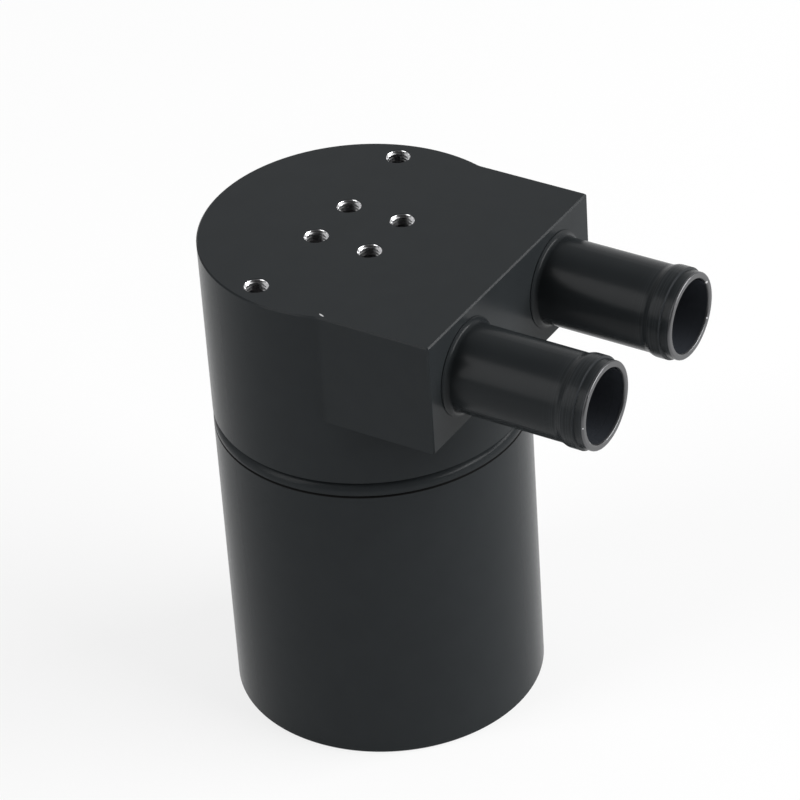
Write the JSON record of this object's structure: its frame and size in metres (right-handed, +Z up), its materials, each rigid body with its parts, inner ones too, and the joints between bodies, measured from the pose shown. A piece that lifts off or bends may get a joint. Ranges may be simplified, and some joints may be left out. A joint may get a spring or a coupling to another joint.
{
  "type": "oil catch can",
  "caption": "Oil catch can: a billet head with beaded hose tails and tapped top holes over a plain round cup that unscrews; it separates oil mist from engine breather gas.",
  "frame": {"origin": "on the can's axis at the base of the cup, which is the face the can stands on", "axes": "+Z up along the can's axis, -Y the way the hose tails point, +X towards the outlet tail"},
  "size_m": [0.068, 0.102, 0.1127],
  "materials": {
    "black_anodised": "satin",
    "seal_rubber": "matte",
    "bare_aluminium": "satin",
    "stainless": "satin",
    "filter_fibre": "matte"
  },
  "bodies": {
    "head": {"head": "black_anodised", "inlet_hose_tail": "black_anodised", "outlet_hose_tail": "black_anodised", "inlet_tail_seal": "seal_rubber", "outlet_tail_seal": "seal_rubber", "drop_tube": "bare_aluminium", "upper_screen": "stainless", "filter_pad": "filter_fibre", "baffle_plate": "stainless", "retaining_ring": "stainless"},
    "cup_seal": {"cup_seal": "seal_rubber"},
    "cup": {"cup": "black_anodised"}
  },
  "joints": [
    {"name": "cup_travel", "type": "slide", "parent": "head", "child": "cup_seal", "axis": [0, 0, -1], "range_m": [0, 0.0075]},
    {"name": "cup_unscrew", "type": "hinge", "parent": "cup_seal", "child": "cup", "pos_m": [0, 0, 0.0683], "axis": [0, 0, -1], "range_deg": [0, 1800]}
  ],
  "couplings": [
    {"joint": "cup_travel", "follows": "cup_unscrew", "m_per_rad": 0.00023873}
  ]
}
